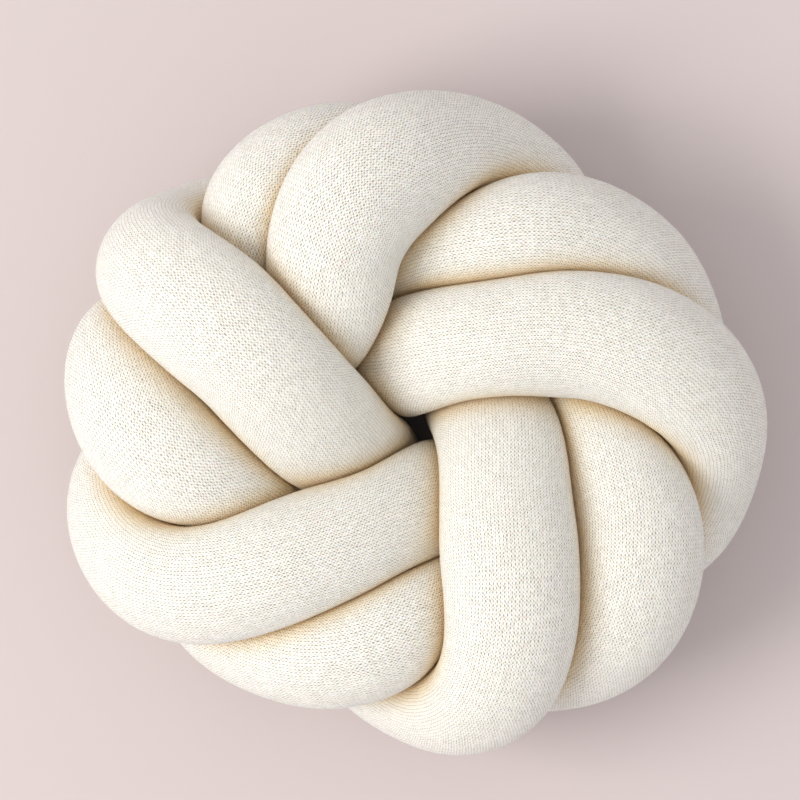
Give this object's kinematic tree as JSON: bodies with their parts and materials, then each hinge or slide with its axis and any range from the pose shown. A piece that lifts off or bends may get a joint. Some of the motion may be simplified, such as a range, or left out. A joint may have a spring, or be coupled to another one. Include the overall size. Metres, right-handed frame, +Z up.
{
  "type": "knot cushion",
  "caption": "Round cushion of a long filled knit tube, woven round on itself into a knot about a small hole and closed end to end.",
  "frame": {"origin": "centre of the cushion's plan, on the surface that it lies on", "axes": "+Z up out of the open face of the knot, +X along the cushion's longest width, +Y to the top of the knot's plan"},
  "size_m": [0.3104, 0.2932, 0.1444],
  "materials": {
    "knit": "matte cream jersey knit"
  },
  "bodies": {
    "root": {"knotted_tube": "knit"}
  },
  "joints": []
}
